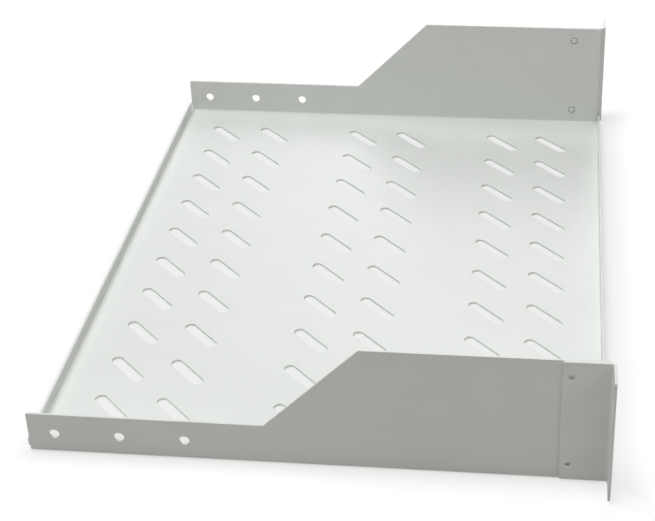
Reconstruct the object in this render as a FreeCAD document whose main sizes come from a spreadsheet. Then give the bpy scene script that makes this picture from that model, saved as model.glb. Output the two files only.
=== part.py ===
import FreeCAD, Part
import math
import os
import Sketcher

# A ventilated 2U shelf for a 19-inch rack. Millimetres.
# X runs across the rack, Y from the front to the rear, Z up.
# The origin is on the surface under the shelf, in the middle of its outline.

SIZES = {
    # tray
    "tray_width": 444.0,
    "tray_depth": 350.0,
    "wall_height": 87.5,
    "low_wall_height": 29.0,
    "low_wall_length": 147.0,
    "slope_angle": 45.0,
    "tray_sheet": 1.5,
    "tray_bend": 1.5,
    "lip_height": 9.0,
    "lip_end_gap": 0.3,
    "lip_end_inset": 2.0,
    "relief_width": 1.5,
    "corner_radius": 1.0,
    # slots in the deck
    "slot_length": 32.5,
    "slot_width": 7.5,
    "slot_angle": 45.0,
    "slot_pitch": 40.0,
    "slot_pair_pitch": 40.0,
    "slot_group_pitch": 115.0,
    "slot_margin": 20.0,
    # holes in the low walls
    "side_hole_diameter": 6.5,
    "side_hole_pitch": 40.0,
    "side_hole_count": 3,
    "side_hole_inset": 18.0,
    # ears
    "ear_sheet": 1.5,
    "ear_bend": 1.5,
    "ear_leg_length": 30.0,
    "ear_flange_width": 19.3,
    "ear_lead": 1.5,
    "ear_base_height": 2.0,
    "ear_corner_radius": 1.5,
    "rack_slot_length": 10.0,
    "rack_slot_width": 7.0,
    "rack_slot_inset": 8.75,
    "rack_slot_spacing": 44.45,
    # press joints between wall and ear
    "clinch_spacing": 63.5,
    "clinch_inset": 5.0,
    "clinch_punch_radius": 1.5,
    "clinch_mouth_round": 1.1,
    "clinch_plug_wall": 0.2,
    "clinch_plug_depth": 1.3,
    "clinch_plug_floor": 1.0,
    "clinch_gap": 0.1,
    "clinch_button_wall": 0.2,
    "clinch_button_floor": 1.0,
    "clinch_button_round": 0.75,
    "clinch_ring_width": 0.8,
    "clinch_ring_depth": 0.8,
}

# Lengths that both the tray and the ears use, as formulas of the sizes above.
WALL_END = "(size.tray_depth / 2 - size.tray_sheet - size.lip_end_gap)"
BEND_START = "(size.tray_depth / 2 - size.tray_sheet - size.tray_bend)"
FLAT_HALF_WIDTH = "(size.tray_width / 2 - size.tray_sheet - size.tray_bend)"
OUTER_BEND = "(size.tray_sheet + size.tray_bend)"
SLOPE_RUN = "((size.wall_height - size.low_wall_height) / tan(size.slope_angle))"
SLOPE_FOOT = "(size.tray_depth / 2 - size.low_wall_length)"
SLOPE_TOP = "(" + SLOPE_FOOT + " - " + SLOPE_RUN + ")"
SLOT_HALF_RUN = "(size.slot_length - size.slot_width) / 2"
SLOT_RUN_X = "(" + SLOT_HALF_RUN + " * cos(size.slot_angle))"
SLOT_RUN_Y = "(" + SLOT_HALF_RUN + " * sin(size.slot_angle))"
SLOT_ROOM_X = "(" + FLAT_HALF_WIDTH + " - size.slot_margin - size.slot_width / 2 - " + SLOT_RUN_X + ")"
SLOT_ROOM_Y = "(" + BEND_START + " - size.slot_margin - size.slot_width / 2 - " + SLOT_RUN_Y + ")"
SLOT_ROWS = "(floor(2 * " + SLOT_ROOM_X + " / size.slot_pitch) + 1)"
SLOT_GROUPS = "(floor((2 * " + SLOT_ROOM_Y + " - size.slot_pair_pitch) / size.slot_group_pitch) + 1)"
EAR_HEIGHT = "(size.wall_height - size.ear_base_height)"
CLINCH_Y = "(size.ear_leg_length - size.clinch_inset)"
CLINCH_PLUG_RADIUS = "(size.clinch_punch_radius + size.clinch_plug_wall)"
CLINCH_CUP_RADIUS = "(" + CLINCH_PLUG_RADIUS + " + size.clinch_gap)"
CLINCH_CUP_DEPTH = "(size.clinch_plug_depth + size.clinch_gap)"

# Sides of a bend's centre, in the plane of its sketch.
LEFT = (-1, 0)
RIGHT = (1, 0)
BELOW = (0, -1)

# How near two places (mm) or two directions have to be to count as the same.
PLACE_TOLERANCE = 1e-3
DIRECTION_TOLERANCE = 1e-6


def make_sheet(doc):
    """Put the driving dimensions into a spreadsheet, one alias for each."""
    sheet = doc.addObject("Spreadsheet::Sheet", "size")
    for row, (name, value) in enumerate(SIZES.items(), start=1):
        sheet.set("A%d" % row, name)
        sheet.set("B%d" % row, str(value))
        sheet.setAlias("B%d" % row, name)
    doc.recompute()
    return sheet


def number(body, formula):
    """The present value of a formula, for drawing a sketch near its solution."""
    return float(body.evalExpression(formula))


def origin_feature(body, role):
    return next(item for item in body.Origin.OriginFeatures if item.Role == role)


def new_sketch(body, name, plane, lift="0"):
    """A sketch on one of the body's own origin planes, moved along its normal by lift."""
    sketch = body.newObject("Sketcher::SketchObject", name)
    sketch.AttachmentSupport = (origin_feature(body, plane), [""])
    sketch.MapMode = "FlatFace"
    sketch.setExpression("AttachmentOffset.Base.z", lift)
    return sketch


def bind(sketch, kind, where, formula):
    """Add a dimension to a sketch and bind it to a formula."""
    index = sketch.addConstraint(Sketcher.Constraint(kind, *where, number(sketch, formula)))
    sketch.setExpression("Constraints[%d]" % index, formula)


def place_point(sketch, geometry, point, x, y):
    bind(sketch, "DistanceX", (-1, 1, geometry, point), x)
    bind(sketch, "DistanceY", (-1, 1, geometry, point), y)


def spot(sketch, x, y):
    """The present place of a point given by two formulas, in the sketch's own plane."""
    return FreeCAD.Vector(number(sketch, x), number(sketch, y), 0)


def circle(sketch, x, y, radius):
    normal = FreeCAD.Vector(0, 0, 1)
    index = sketch.addGeometry(Part.Circle(spot(sketch, x, y), normal, number(sketch, radius)))
    place_point(sketch, index, 3, x, y)
    bind(sketch, "Radius", (index,), radius)


def slot(sketch, x, y, run_x, run_y, radius):
    """An obround whose end centres lie one run either side of (x, y)."""
    start = ("(%s) - (%s)" % (x, run_x), "(%s) - (%s)" % (y, run_y))
    end = ("(%s) + (%s)" % (x, run_x), "(%s) + (%s)" % (y, run_y))
    first = spot(sketch, *start)
    last = spot(sketch, *end)
    size = number(sketch, radius)
    normal = FreeCAD.Vector(0, 0, 1)
    along = (last - first).normalize()
    side = normal.cross(along) * size
    turn = math.atan2(side.y, side.x)
    near_end = sketch.addGeometry(Part.ArcOfCircle(Part.Circle(first, normal, size), turn, turn + math.pi))
    far_end = sketch.addGeometry(Part.ArcOfCircle(Part.Circle(last, normal, size), turn - math.pi, turn))
    lower = sketch.addGeometry(Part.LineSegment(first - side, last - side))
    upper = sketch.addGeometry(Part.LineSegment(last + side, first + side))
    for pair in ((near_end, 2, lower, 1), (lower, 2, far_end, 1), (far_end, 2, upper, 1), (upper, 2, near_end, 1)):
        sketch.addConstraint(Sketcher.Constraint("Tangent", *pair))
    sketch.addConstraint(Sketcher.Constraint("Equal", near_end, far_end))
    place_point(sketch, near_end, 3, *start)
    place_point(sketch, far_end, 3, *end)
    bind(sketch, "Radius", (near_end,), radius)


def bend_ends(sketch, step):
    """Entry and exit of a bend (x, y, radius, first side, last side)."""
    x, y, radius, first, last = step
    centre = spot(sketch, x, y)
    size = number(sketch, radius)
    return tuple(centre + FreeCAD.Vector(*side, 0) * size for side in (first, last))


def draw_bend(sketch, step):
    """Draw a quarter bend and return its geometry with the point ids of its entry and exit."""
    x, y, radius, first, last = step
    full = Part.Circle(spot(sketch, x, y), FreeCAD.Vector(0, 0, 1), number(sketch, radius))
    left_turn = first[0] * last[1] - first[1] * last[0] > 0
    angles = [math.atan2(side[1], side[0]) for side in (first, last)]
    if not left_turn:
        angles.reverse()
    arc = sketch.addGeometry(Part.ArcOfCircle(full, *angles))
    points = (1, 2) if left_turn else (2, 1)
    place_point(sketch, arc, 3, x, y)
    bind(sketch, "Radius", (arc,), radius)
    for side, point in zip((first, last), points):
        level = "Horizontal" if side[1] == 0 else "Vertical"
        sketch.addConstraint(Sketcher.Constraint(level, arc, 3, arc, point))
    return (arc, points[0]), (arc, points[1])


def outline(sketch, steps):
    """Draw a closed outline from corners (x, y) and bends (x, y, radius, first side, last side)."""
    bends = {}
    places = []
    for i, step in enumerate(steps):
        if len(step) == 2:
            places.append((spot(sketch, *step), spot(sketch, *step)))
        else:
            bends[i] = draw_bend(sketch, step)
            places.append(bend_ends(sketch, step))
    count = len(steps)
    lines = [
        sketch.addGeometry(Part.LineSegment(places[i][1], places[(i + 1) % count][0]))
        for i in range(count)
    ]
    for i, step in enumerate(steps):
        before = (lines[i - 1], 2)
        after = (lines[i], 1)
        if i in bends:
            entry, leave = bends[i]
            sketch.addConstraint(Sketcher.Constraint("Coincident", *before, *entry))
            sketch.addConstraint(Sketcher.Constraint("Coincident", *after, *leave))
        else:
            sketch.addConstraint(Sketcher.Constraint("Coincident", *before, *after))
            place_point(sketch, *after, *step)


def rectangle(sketch, x_low, x_high, y_low, y_high):
    outline(sketch, [(x_low, y_low), (x_high, y_low), (x_high, y_high), (x_low, y_high)])


def pad(body, name, sketch, length, reverse=False, symmetric=False):
    feature = body.newObject("PartDesign::Pad", name)
    feature.Profile = (sketch, [""])
    feature.setExpression("Length", length)
    feature.Reversed = reverse
    if symmetric:
        feature.SideType = "Symmetric"
    return feature


def cut_through(body, name, sketch):
    """Cut a sketch's outline out of the body, both ways from its plane."""
    feature = body.newObject("PartDesign::Pocket", name)
    feature.Profile = (sketch, [""])
    feature.Type = "ThroughAll"
    feature.SideType = "Symmetric"
    return feature


def cut_depth(body, name, sketch, depth, reverse=False):
    """Cut a sketch's outline into the body, against the normal of its plane or along it."""
    feature = body.newObject("PartDesign::Pocket", name)
    feature.Profile = (sketch, [""])
    feature.setExpression("Length", depth)
    feature.Reversed = reverse
    return feature


def mirror(body, name, originals, plane):
    feature = body.newObject("PartDesign::Mirrored", name)
    feature.Originals = originals
    feature.MirrorPlane = (origin_feature(body, plane), [""])
    body.Tip = feature
    return feature


def repeat(body, name, original, axis, count, pitch, reverse=False):
    feature = body.newObject("PartDesign::LinearPattern", name)
    feature.Originals = [original]
    feature.Direction = (origin_feature(body, axis), [""])
    feature.Reversed = reverse
    feature.Mode = "Extent"
    feature.setExpression("Occurrences", count)
    feature.setExpression("Length", "(%s - 1) * %s" % (count, pitch))
    body.Tip = feature
    return feature


def round_edges(body, name, chosen, radius):
    """Round the edges of the body for which chosen(edge) is true."""
    body.Document.recompute()
    base = body.Tip
    names = ["Edge%d" % (i + 1) for i, edge in enumerate(base.Shape.Edges) if chosen(edge)]
    if not names:
        raise RuntimeError("no edges found for " + name)
    feature = body.newObject("PartDesign::Fillet", name)
    feature.Base = (base, names)
    feature.setExpression("Radius", radius)
    return feature


def is_straight_along(edge, axis):
    """True for a straight edge along X (0), Y (1) or Z (2)."""
    if not isinstance(edge.Curve, Part.Line):
        return False
    return abs(abs(edge.Curve.Direction[axis]) - 1) < DIRECTION_TOLERANCE


def is_near(value, target):
    return abs(value - target) < PLACE_TOLERANCE


def passes(edge, axes, places):
    """True where the edge's middle lies at one of the places, given as pairs on two axes."""
    middle = edge.CenterOfMass
    return any(
        is_near(middle[axes[0]], place[0]) and is_near(middle[axes[1]], place[1])
        for place in places
    )


def is_rim(edge, x, radius):
    """True for a whole circle of this radius in the plane at x."""
    if not isinstance(edge.Curve, Part.Circle) or not edge.isClosed():
        return False
    return is_near(edge.CenterOfMass.x, x) and is_near(edge.Curve.Radius, radius)


def fold_tray_walls(body):
    """The deck with its two side walls, folded up and cut to their stepped outline."""
    section = new_sketch(body, "section", "XZ_Plane")
    half = "size.tray_width / 2"
    inner = "size.tray_width / 2 - size.tray_sheet"
    outline(section, [
        ("-" + FLAT_HALF_WIDTH, OUTER_BEND, OUTER_BEND, LEFT, BELOW),
        (FLAT_HALF_WIDTH, OUTER_BEND, OUTER_BEND, BELOW, RIGHT),
        (half, "size.wall_height"),
        (inner, "size.wall_height"),
        (FLAT_HALF_WIDTH, OUTER_BEND, "size.tray_bend", RIGHT, BELOW),
        ("-" + FLAT_HALF_WIDTH, OUTER_BEND, "size.tray_bend", BELOW, LEFT),
        ("-(" + inner + ")", "size.wall_height"),
        ("-(" + half + ")", "size.wall_height"),
    ])
    pad(body, "folded_walls", section, "2 * " + WALL_END, symmetric=True)

    step = new_sketch(body, "wall_step", "YZ_Plane")
    rear = "size.tray_depth / 2"
    over = "size.wall_height + size.low_wall_height"
    outline(step, [
        (SLOPE_TOP, "size.wall_height"),
        (SLOPE_FOOT, "size.low_wall_height"),
        (rear, "size.low_wall_height"),
        (rear, over),
        (SLOPE_TOP, over),
    ])
    cut_through(body, "wall_step_cut", step)

    corner_formulas = [
        ("-" + WALL_END, "size.wall_height"),
        (SLOPE_TOP, "size.wall_height"),
        (SLOPE_FOOT, "size.low_wall_height"),
        (WALL_END, "size.low_wall_height"),
    ]
    corners = [(number(body, y), number(body, z)) for y, z in corner_formulas]
    round_edges(
        body, "wall_corners",
        lambda edge: is_straight_along(edge, 0) and passes(edge, (1, 2), corners),
        "size.corner_radius",
    )


def fold_tray_lips(body):
    """The front and rear lips, with the notches that free their bends from the side bends."""
    ends = new_sketch(body, "deck_ends", "XY_Plane")
    for low, high in ((BEND_START, "size.tray_depth / 2"), ("-size.tray_depth / 2", "-" + BEND_START)):
        rectangle(ends, "-" + FLAT_HALF_WIDTH, FLAT_HALF_WIDTH, low, high)
    cut_through(body, "deck_ends_cut", ends)

    bend = new_sketch(body, "lip_section", "YZ_Plane")
    outline(bend, [
        (BEND_START, OUTER_BEND, OUTER_BEND, BELOW, RIGHT),
        ("size.tray_depth / 2", "size.lip_height"),
        ("size.tray_depth / 2 - size.tray_sheet", "size.lip_height"),
        (BEND_START, OUTER_BEND, "size.tray_bend", RIGHT, BELOW),
    ])
    lip = pad(body, "lip", bend, "2 * (" + FLAT_HALF_WIDTH + " - size.relief_width)", symmetric=True)

    face = new_sketch(body, "lip_face", "XZ_Plane", lift="-size.tray_depth / 2")
    end = "(size.tray_width / 2 - size.lip_end_inset)"
    rectangle(face, "-" + end, end, OUTER_BEND, "size.lip_height")
    overlap = pad(body, "lip_over_wall_ends", face, "size.tray_sheet")
    mirror(body, "front_lip", [lip, overlap], "XZ_Plane")

    side = number(body, end)
    height = number(body, "size.lip_height")
    round_edges(
        body, "lip_corners",
        lambda edge: is_straight_along(edge, 1) and passes(edge, (0, 2), [(side, height), (-side, height)]),
        "size.corner_radius",
    )


def press_tray_clinches(body):
    """The cups that take the ears' plugs, each with a button and a pressed ring inside its wall."""
    y = CLINCH_Y + " - size.tray_depth / 2 - size.ear_lead"
    middle = "size.ear_base_height + " + EAR_HEIGHT + " / 2"
    heights = ["%s %s size.clinch_spacing / 2" % (middle, sign) for sign in "-+"]
    button_radius = CLINCH_CUP_RADIUS + " + size.clinch_button_wall"
    button_rise = CLINCH_CUP_DEPTH + " + size.clinch_button_floor - size.tray_sheet"

    inner_face = "size.tray_width / 2 - size.tray_sheet"
    button_sketch = new_sketch(body, "button_circles", "YZ_Plane", lift=inner_face)
    ring_sketch = new_sketch(body, "ring_circles", "YZ_Plane", lift=inner_face)
    cup_sketch = new_sketch(body, "cup_circles", "YZ_Plane", lift="size.tray_width / 2")
    for z in heights:
        circle(button_sketch, y, z, button_radius)
        circle(ring_sketch, y, z, button_radius)
        circle(ring_sketch, y, z, button_radius + " + size.clinch_ring_width")
        circle(cup_sketch, y, z, CLINCH_CUP_RADIUS)
    buttons = pad(body, "buttons", button_sketch, button_rise, reverse=True)
    rings = cut_depth(body, "rings", ring_sketch, "size.clinch_ring_depth", reverse=True)
    cups = cut_depth(body, "cups", cup_sketch, CLINCH_CUP_DEPTH)
    mirror(body, "left_wall_clinches", [buttons, rings, cups], "YZ_Plane")

    crown = number(body, inner_face + " - (" + button_rise + ")")
    rim = number(body, button_radius)
    round_edges(
        body, "button_edges",
        lambda edge: is_rim(edge, crown, rim) or is_rim(edge, -crown, rim),
        "size.clinch_button_round",
    )


def punch_tray_holes(body):
    """Round holes through both low walls and the slanted slots of the deck."""
    hole = new_sketch(body, "side_hole", "YZ_Plane")
    circle(
        hole, "size.tray_depth / 2 - size.side_hole_inset", "size.low_wall_height / 2",
        "size.side_hole_diameter / 2",
    )
    holes = cut_through(body, "side_hole_cut", hole)
    repeat(body, "side_holes", holes, "Y_Axis", "size.side_hole_count", "size.side_hole_pitch", reverse=True)

    pair = new_sketch(body, "slot_pair", "XY_Plane")
    x = "-(" + SLOT_ROWS + " - 1) / 2 * size.slot_pitch"
    first_y = "-(" + SLOT_GROUPS + " - 1) / 2 * size.slot_group_pitch"
    for sign in "-+":
        y = "%s %s size.slot_pair_pitch / 2" % (first_y, sign)
        slot(pair, x, y, SLOT_RUN_X, SLOT_RUN_Y, "size.slot_width / 2")
    slots = repeat(
        body, "deck_slots", cut_through(body, "slot_pair_cut", pair),
        "X_Axis", SLOT_ROWS, "size.slot_pitch",
    )
    slots.Direction2 = (origin_feature(body, "Y_Axis"), [""])
    slots.Mode2 = "Extent"
    slots.setExpression("Occurrences2", SLOT_GROUPS)
    slots.setExpression("Length2", "(" + SLOT_GROUPS + " - 1) * size.slot_group_pitch")


def make_tray(doc):
    """One folded sheet. The body's own origin is in the middle of the deck's underside."""
    body = doc.addObject("PartDesign::Body", "tray")
    fold_tray_walls(body)
    fold_tray_lips(body)
    press_tray_clinches(body)
    punch_tray_holes(body)
    body.setExpression("Placement.Base.y", "size.ear_lead / 2")
    return body


def make_right_ear(doc):
    """An L bracket: a leg on the wall's outside and a flange turned outwards at the front.

    The body's own origin is at the bottom, where the wall's outer face meets the flange's front.
    """
    body = doc.addObject("PartDesign::Body", "right_ear")
    outer_bend = "(size.ear_sheet + size.ear_bend)"
    middle = EAR_HEIGHT + " / 2"
    rack_middle = "(size.wall_height / 2 - size.ear_base_height)"

    section = new_sketch(body, "ear_section", "XY_Plane")
    outline(section, [
        ("0", "size.ear_leg_length"),
        (outer_bend, outer_bend, outer_bend, LEFT, BELOW),
        ("size.ear_flange_width", "0"),
        ("size.ear_flange_width", "size.ear_sheet"),
        (outer_bend, outer_bend, "size.ear_bend", BELOW, LEFT),
        ("size.ear_sheet", "size.ear_leg_length"),
    ])
    pad(body, "folded_ear", section, EAR_HEIGHT)

    top = number(body, EAR_HEIGHT)
    leg = number(body, "size.ear_leg_length")
    flange = number(body, "size.ear_flange_width")
    leg_corners = [(leg, 0), (leg, top)]
    flange_corners = [(flange, 0), (flange, top)]
    round_edges(
        body, "ear_corners",
        lambda edge: (is_straight_along(edge, 0) and passes(edge, (1, 2), leg_corners))
        or (is_straight_along(edge, 1) and passes(edge, (0, 2), flange_corners)),
        "size.ear_corner_radius",
    )

    plug_sketch = new_sketch(body, "plug_circles", "YZ_Plane")
    recess_sketch = new_sketch(body, "recess_circles", "YZ_Plane", lift="size.ear_sheet")
    for sign in "-+":
        z = "%s %s size.clinch_spacing / 2" % (middle, sign)
        circle(plug_sketch, CLINCH_Y, z, CLINCH_PLUG_RADIUS)
        circle(recess_sketch, CLINCH_Y, z, "size.clinch_punch_radius")
    pad(body, "plugs", plug_sketch, "size.clinch_plug_depth", reverse=True)
    cut_depth(
        body, "recesses", recess_sketch,
        "size.ear_sheet + size.clinch_plug_depth - size.clinch_plug_floor",
    )
    face = number(body, "size.ear_sheet")
    mouth = number(body, "size.clinch_punch_radius")
    round_edges(body, "recess_mouths", lambda edge: is_rim(edge, face, mouth), "size.clinch_mouth_round")

    rack = new_sketch(body, "rack_slots", "XZ_Plane")
    for sign in "-+":
        slot(
            rack, "size.ear_flange_width - size.rack_slot_inset",
            "%s %s size.rack_slot_spacing / 2" % (rack_middle, sign),
            "(size.rack_slot_length - size.rack_slot_width) / 2", "0", "size.rack_slot_width / 2",
        )
    cut_through(body, "rack_slots_cut", rack)

    body.setExpression("Placement.Base.x", "size.tray_width / 2")
    body.setExpression("Placement.Base.y", "-(size.tray_depth + size.ear_lead) / 2")
    body.setExpression("Placement.Base.z", "size.ear_base_height")
    return body


def make_left_ear(doc, right_ear):
    """The right ear's mirror image across the middle of the shelf."""
    ear = doc.addObject("Part::Mirroring", "left_ear")
    ear.Source = right_ear
    ear.Normal = (1, 0, 0)
    return ear


def check(doc, parts):
    for item in doc.Objects:
        if "Invalid" in item.State or "Error" in item.State:
            raise RuntimeError("%s did not compute: %s" % (item.Name, item.State))
    for part in parts:
        shape = part.Shape
        if shape.isNull() or not shape.isValid() or len(shape.Solids) != 1:
            raise RuntimeError(part.Name + " is not one valid solid")


def main():
    doc = FreeCAD.newDocument("rack_shelf")
    make_sheet(doc)
    tray = make_tray(doc)
    right_ear = make_right_ear(doc)
    left_ear = make_left_ear(doc, right_ear)
    doc.recompute()
    parts = [tray, left_ear, right_ear]
    check(doc, parts)
    os.makedirs("parts", exist_ok=True)
    for part in parts:
        part.Label = part.Name
        part.Shape.exportStep("parts/%s.step" % part.Name)
        box = part.Shape.BoundBox
        print(part.Name, "volume %.1f" % part.Shape.Volume, box)


main()
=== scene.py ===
from math import radians

import bpy
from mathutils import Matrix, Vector


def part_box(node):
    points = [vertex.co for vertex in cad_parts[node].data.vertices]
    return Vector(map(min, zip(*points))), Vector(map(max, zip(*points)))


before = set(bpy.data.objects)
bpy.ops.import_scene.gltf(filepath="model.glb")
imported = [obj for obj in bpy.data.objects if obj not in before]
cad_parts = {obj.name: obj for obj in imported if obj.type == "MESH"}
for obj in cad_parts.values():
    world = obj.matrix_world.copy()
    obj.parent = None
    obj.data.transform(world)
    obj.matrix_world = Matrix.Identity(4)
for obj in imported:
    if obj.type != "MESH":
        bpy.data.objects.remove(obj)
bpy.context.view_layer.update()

# Metres, watts and degrees, in the frame of the model: X across the rack, Y to the rear, Z up.

MILLIMETRE = 0.001

# The photograph's frame, the length of its lens and the spot that the lens points at, all in pixels.
PHOTO_WIDTH = 655
PHOTO_HEIGHT = 521
LENS_PIXELS = 1507.9
AXIS_PIXEL = (407.8, 159.0)

# Where the camera stands, and how far it is turned about X, Y and Z. The sensor's width is in
# millimetres, as the lens is then.
CAMERA_PLACE = (-0.9046, -0.1355, 0.6070)
CAMERA_TURN = (60.237, 1.004, -84.299)
SENSOR_WIDTH = 36.0

# The light that comes from all round. What is seen of it is plain white.
WHITE = (1.0, 1.0, 1.0)
WORLD_TINT = (0.98, 0.99, 1.0)
WORLD_FILL = 0.02

# Name, place, diameter, power and colour of each round lamp. All of them face the middle of the shelf.
COOL = (0.985, 0.995, 1.0)
WARM = (1.0, 0.98, 0.95)
LAMPS = [
    ("overhead", (0.0, 0.6, 2.1), 1.8, 34.0, COOL),
    ("far_high", (1.73, 0.0, 1.35), 1.2, 8.0, COOL),
    ("far_low", (2.09, 0.0, 0.68), 1.0, 5.2, COOL),
    ("near_high", (-0.5, 0.2, 1.0), 0.5, 1.0, WARM),
    ("near_side", (-1.23, -1.23, 1.35), 1.2, 6.3, WARM),
]

# The paper that the shelf lies on, a little below it so that their faces don't meet. Its bounce, under
# the shelf's outline and beside it, is what lights the shelf from below.
FLOOR_DROP = 0.2 * MILLIMETRE
FLOOR_SIZE = 12.0
BOUNCE_UNDER = (0.92, 0.92, 0.91)
BOUNCE_BESIDE = (0.735, 0.715, 0.69)

# What the camera and reflections see of it: a dim paper that takes the shadow, and a glow added to it.
# The glow grows in three steps outwards: at the outline's edge, over a strip beside it, and far away.
# Its weaker steps under and beside the outline paint a soft shadow there, and the strip is shifted to
# the right and the front, where that painted shadow falls.
PAPER_SEEN = (0.30, 0.30, 0.30)
TINT_UNDER = (0.975, 1.0, 0.974)
GLOW_UNDER = 0.59
GLOW_BESIDE = 0.64
GLOW_OPEN = 0.78
GLOW_FAR = 1.0
GLOW_EDGE = 3 * MILLIMETRE
PAINTED_SHADOW_SHIFT = (5 * MILLIMETRE, -5 * MILLIMETRE)
PAINTED_SHADOW_WIDTH = 24 * MILLIMETRE
GLOW_FAR_SPAN = (0.8, 2.5)

# The powder coat. Each pattern has the width of its features, how much finer detail it has, and the
# share by which it changes a value. The spans are the parts of a noise's values that a pattern uses.
COAT_COLOR = (0.79, 0.81, 0.78)
COAT_ROUGHNESS = 0.42
COLOR_SPREAD = 0.02
COLOR_SPAN = (0.6, 1.4)
MOTTLE_WIDTH = 38 * MILLIMETRE
MOTTLE_DETAIL = 3
MOTTLE_SPAN = (0.3, 0.7)
SPECKLE_WIDTH = 0.7 * MILLIMETRE
SPECKLE_DETAIL = 2
SPECKLE_SPAN = (0.25, 0.75)
ROUGHNESS_SPREAD = 0.04
PEEL_WIDTH = 1.5 * MILLIMETRE
PEEL_HEIGHT = 0.012 * MILLIMETRE
WAVE_WIDTH = 6 * MILLIMETRE
WAVE_HEIGHT = 0.02 * MILLIMETRE
RELIEF_DETAIL = 1

# Along the sheet's edges the coat is rounded and smoother, and paler, partly from a thinner coat and
# partly as a painted highlight, more so in patches. The turn is the cosine between the rounded normal
# and the flat one, where an edge starts and where it is full.
EDGE_RADIUS = 0.65 * MILLIMETRE
EDGE_SAMPLES = 6
EDGE_TURN = (0.99, 0.8)
EDGE_WEAR_AND_HIGHLIGHT = 1.12
EDGE_SHINE = 0.06
WEAR_AND_HIGHLIGHT_SHARE = (0.5, 1.0)

# In grooves and corners the colour is painted a little darker, as painted shade where less light
# reaches. Open is the free share of the space around a place, where the painted shade starts and where
# it is full.
CORNER_REACH = 1.0 * MILLIMETRE
CORNER_SAMPLES = 8
CORNER_OPEN = (0.75, 0.3)
PAINTED_CORNER_SHADE = 0.82


def socket(node, name, value):
    node.inputs[name].default_value = value


def with_alpha(color):
    return (*color, 1)


def make_camera():
    """The photo's own view. Its frame is shifted, because the lens doesn't point at the middle."""
    data = bpy.data.cameras.new("camera")
    data.sensor_width = SENSOR_WIDTH
    data.lens = LENS_PIXELS / PHOTO_WIDTH * SENSOR_WIDTH
    data.shift_x = (PHOTO_WIDTH / 2 - AXIS_PIXEL[0]) / PHOTO_WIDTH
    data.shift_y = (AXIS_PIXEL[1] - PHOTO_HEIGHT / 2) / PHOTO_WIDTH
    camera = bpy.data.objects.new("camera", data)
    camera.location = CAMERA_PLACE
    camera.rotation_euler = [radians(angle) for angle in CAMERA_TURN]
    bpy.context.scene.collection.objects.link(camera)
    bpy.context.scene.camera = camera


def make_lamp(name, place, diameter, power, color):
    """A round soft lamp that faces the origin."""
    data = bpy.data.lights.new(name, "AREA")
    data.shape = "DISK"
    data.size = diameter
    data.energy = power
    data.color = color
    lamp = bpy.data.objects.new(name, data)
    lamp.location = place
    lamp.rotation_euler = (-Vector(place)).to_track_quat("-Z", "Y").to_euler()
    bpy.context.scene.collection.objects.link(lamp)


def math_node(nodes, links, operation, *values):
    """A Math node whose inputs are sockets or numbers."""
    node = nodes.new("ShaderNodeMath")
    node.operation = operation
    for slot, value in zip(node.inputs, values):
        if isinstance(value, (int, float)):
            slot.default_value = value
        else:
            links.new(value, slot)
    return node.outputs[0]


def ramp_node(nodes, links, value, start, end, low, high):
    """A smooth step of a value, from low at start to high at end."""
    node = nodes.new("ShaderNodeMapRange")
    node.interpolation_type = "SMOOTHSTEP"
    links.new(value, node.inputs["Value"])
    socket(node, "From Min", start)
    socket(node, "From Max", end)
    socket(node, "To Min", low)
    socket(node, "To Max", high)
    return node.outputs["Result"]


def mix_colors(nodes, links, factor, first, second):
    """Mix two colours, each a socket or a fixed colour."""
    node = nodes.new("ShaderNodeMix")
    node.data_type = "RGBA"
    links.new(factor, node.inputs["Factor"])
    slots = [slot for slot in node.inputs if slot.type == "RGBA"]
    for slot, value in zip(slots, (first, second)):
        if isinstance(value, tuple):
            slot.default_value = value
        else:
            links.new(value, slot)
    return next(slot for slot in node.outputs if slot.type == "RGBA")


def is_seen(nodes, links):
    """1 for the camera's rays and for those that a glossy surface reflects, else 0."""
    rays = nodes.new("ShaderNodeLightPath").outputs
    return math_node(nodes, links, "MAXIMUM", rays["Is Camera Ray"], rays["Is Glossy Ray"])


def mix_shaders(nodes, links, factor, first, second):
    mix = nodes.new("ShaderNodeMixShader")
    links.new(factor, mix.inputs[0])
    links.new(first.outputs[0], mix.inputs[1])
    links.new(second.outputs[0], mix.inputs[2])
    return mix.outputs[0]


def make_world():
    """Dim for lighting, white where the camera or a reflection looks at it."""
    world = bpy.data.worlds.new("studio")
    world.use_nodes = True
    nodes = world.node_tree.nodes
    links = world.node_tree.links
    nodes.clear()
    fill = nodes.new("ShaderNodeBackground")
    socket(fill, "Color", with_alpha(WORLD_TINT))
    socket(fill, "Strength", WORLD_FILL)
    white = nodes.new("ShaderNodeBackground")
    socket(white, "Color", with_alpha(WHITE))
    socket(white, "Strength", 1.0)
    out = nodes.new("ShaderNodeOutputWorld")
    links.new(mix_shaders(nodes, links, is_seen(nodes, links), fill, white), out.inputs["Surface"])
    bpy.context.scene.world = world


def outside_tray(nodes, links, shift=(0, 0)):
    """How far a point of the floor lies outside the tray's outline, or that outline shifted."""
    low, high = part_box("tray")
    geometry = nodes.new("ShaderNodeNewGeometry")
    split = nodes.new("ShaderNodeSeparateXYZ")
    links.new(geometry.outputs["Position"], split.inputs[0])
    sides = []
    for axis in (0, 1):
        middle = (low[axis] + high[axis]) / 2 + shift[axis]
        half = (high[axis] - low[axis]) / 2
        from_middle = math_node(nodes, links, "SUBTRACT", split.outputs[axis], middle)
        distance = math_node(nodes, links, "ABSOLUTE", from_middle)
        sides.append(math_node(nodes, links, "SUBTRACT", distance, half))
    return math_node(nodes, links, "MAXIMUM", *sides)


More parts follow.
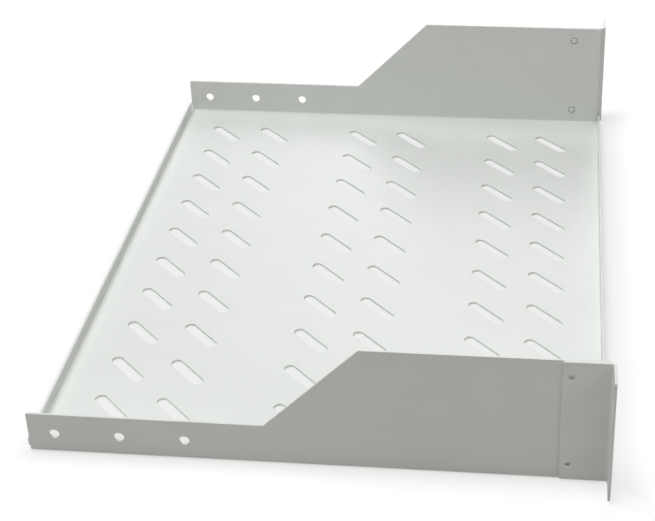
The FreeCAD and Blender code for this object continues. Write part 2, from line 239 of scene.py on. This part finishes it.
def make_floor_material():
    """Paper that lights the shelf from below, and looks white with a soft shadow, partly cast by the
    lamps and partly painted in its glow.
    """
    material = bpy.data.materials.new("floor")
    material.use_nodes = True
    nodes = material.node_tree.nodes
    links = material.node_tree.links
    nodes.clear()
    outside = outside_tray(nodes, links)
    beside = ramp_node(nodes, links, outside, -GLOW_EDGE, 0, 0, 1)
    bounce = nodes.new("ShaderNodeBsdfDiffuse")
    shades = (with_alpha(BOUNCE_UNDER), with_alpha(BOUNCE_BESIDE))
    links.new(mix_colors(nodes, links, beside, *shades), bounce.inputs["Color"])

    paper = nodes.new("ShaderNodeBsdfDiffuse")
    socket(paper, "Color", with_alpha(PAPER_SEEN))
    glow = nodes.new("ShaderNodeEmission")
    tints = (with_alpha(TINT_UNDER), with_alpha(WHITE))
    links.new(mix_colors(nodes, links, beside, *tints), glow.inputs["Color"])
    # Less glow under the outline and beside it: a painted soft shadow.
    edge = ramp_node(nodes, links, outside, -GLOW_EDGE, 0, GLOW_UNDER, GLOW_BESIDE)
    shifted = outside_tray(nodes, links, PAINTED_SHADOW_SHIFT)
    painted_shadow_fade = ramp_node(nodes, links, shifted, 0, PAINTED_SHADOW_WIDTH, 0, GLOW_OPEN - GLOW_BESIDE)
    far = ramp_node(nodes, links, outside, *GLOW_FAR_SPAN, 0, GLOW_FAR - GLOW_OPEN)
    strength = math_node(nodes, links, "ADD", math_node(nodes, links, "ADD", edge, painted_shadow_fade), far)
    links.new(strength, glow.inputs["Strength"])
    seen = nodes.new("ShaderNodeAddShader")
    links.new(paper.outputs[0], seen.inputs[0])
    links.new(glow.outputs[0], seen.inputs[1])

    out = nodes.new("ShaderNodeOutputMaterial")
    links.new(mix_shaders(nodes, links, is_seen(nodes, links), bounce, seen), out.inputs["Surface"])
    return material


def make_floor():
    mesh = bpy.data.meshes.new("floor")
    half = FLOOR_SIZE / 2
    corners = [(-half, -half), (half, -half), (half, half), (-half, half)]
    mesh.from_pydata([(x, y, -FLOOR_DROP) for x, y in corners], [], [(0, 1, 2, 3)])
    mesh.materials.append(make_floor_material())
    floor = bpy.data.objects.new("floor", mesh)
    bpy.context.scene.collection.objects.link(floor)


def noise_node(nodes, links, place, width, detail):
    """Noise whose features are about width across, from 0 to 1."""
    node = nodes.new("ShaderNodeTexNoise")
    links.new(place, node.inputs["Vector"])
    socket(node, "Scale", 1 / width)
    socket(node, "Detail", detail)
    return node.outputs[0]


def coat_shade(factor):
    """The coat's colour, paler or darker by a factor."""
    return with_alpha([channel * factor for channel in COAT_COLOR])


def edge_mask(nodes, links, rounded, mottle):
    """Up to 1 along edges, where the rounded normal turns away from the face's own, in patches."""
    face = nodes.new("ShaderNodeNewGeometry").outputs["True Normal"]
    turn = nodes.new("ShaderNodeVectorMath")
    turn.operation = "DOT_PRODUCT"
    links.new(rounded, turn.inputs[0])
    links.new(face, turn.inputs[1])
    edge = ramp_node(nodes, links, turn.outputs["Value"], *EDGE_TURN, 0, 1)
    wear_and_highlight_patches = ramp_node(nodes, links, mottle, *MOTTLE_SPAN, *WEAR_AND_HIGHLIGHT_SHARE)
    return math_node(nodes, links, "MULTIPLY", edge, wear_and_highlight_patches)


def painted_shade_mask(nodes, links):
    """Up to 1 deep in grooves and inner corners of the same piece, where the painted shade goes."""
    reach = nodes.new("ShaderNodeAmbientOcclusion")
    reach.only_local = True
    reach.samples = CORNER_SAMPLES
    socket(reach, "Distance", CORNER_REACH)
    return ramp_node(nodes, links, reach.outputs["AO"], *CORNER_OPEN, 0, 1)


def make_powder_coat(name):
    """Satin powder coat: faintly mottled, with orange peel, smooth and paler along edges (partly a
    painted highlight), with painted shade in corners.
    """
    material = bpy.data.materials.new(name)
    material.use_nodes = True
    nodes = material.node_tree.nodes
    links = material.node_tree.links
    shader = nodes["Principled BSDF"]
    place = nodes.new("ShaderNodeTexCoord").outputs["Object"]
    mottle = noise_node(nodes, links, place, MOTTLE_WIDTH, MOTTLE_DETAIL)
    speckle = noise_node(nodes, links, place, SPECKLE_WIDTH, SPECKLE_DETAIL)
    bevel = nodes.new("ShaderNodeBevel")
    bevel.samples = EDGE_SAMPLES
    socket(bevel, "Radius", EDGE_RADIUS)
    normal = bevel.outputs[0]
    edge = edge_mask(nodes, links, normal, mottle)

    pattern = math_node(nodes, links, "ADD", mottle, speckle)
    pattern = ramp_node(nodes, links, pattern, *COLOR_SPAN, 0, 1)
    color = mix_colors(nodes, links, pattern, coat_shade(1 - COLOR_SPREAD), coat_shade(1 + COLOR_SPREAD))
    # Paler along edges: partly a thinner coat, partly a painted highlight.
    color = mix_colors(nodes, links, edge, color, coat_shade(EDGE_WEAR_AND_HIGHLIGHT))
    # Darker in grooves and corners: painted shade.
    color = mix_colors(nodes, links, painted_shade_mask(nodes, links), color, coat_shade(PAINTED_CORNER_SHADE))
    links.new(color, shader.inputs["Base Color"])

    span = (COAT_ROUGHNESS - ROUGHNESS_SPREAD, COAT_ROUGHNESS + ROUGHNESS_SPREAD)
    rough = ramp_node(nodes, links, speckle, *SPECKLE_SPAN, *span)
    shine = math_node(nodes, links, "MULTIPLY", edge, EDGE_SHINE)
    links.new(math_node(nodes, links, "SUBTRACT", rough, shine), shader.inputs["Roughness"])

    for width, height in ((WAVE_WIDTH, WAVE_HEIGHT), (PEEL_WIDTH, PEEL_HEIGHT)):
        bump = nodes.new("ShaderNodeBump")
        socket(bump, "Distance", height)
        relief = noise_node(nodes, links, place, width, RELIEF_DETAIL)
        links.new(relief, bump.inputs["Height"])
        links.new(normal, bump.inputs["Normal"])
        normal = bump.outputs[0]
    links.new(normal, shader.inputs["Normal"])
    return material


def dress(node, material):
    """Give a piece of the model one material all over."""
    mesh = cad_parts[node].data
    mesh.materials.clear()
    mesh.materials.append(material)


make_camera()
make_world()
for lamp in LAMPS:
    make_lamp(*lamp)
make_floor()
dress("tray", make_powder_coat("tray_coat"))
ear_coat = make_powder_coat("ear_coat")
for ear in ("left_ear", "right_ear"):
    dress(ear, ear_coat)

bpy.context.scene.view_settings.view_transform = "Standard"
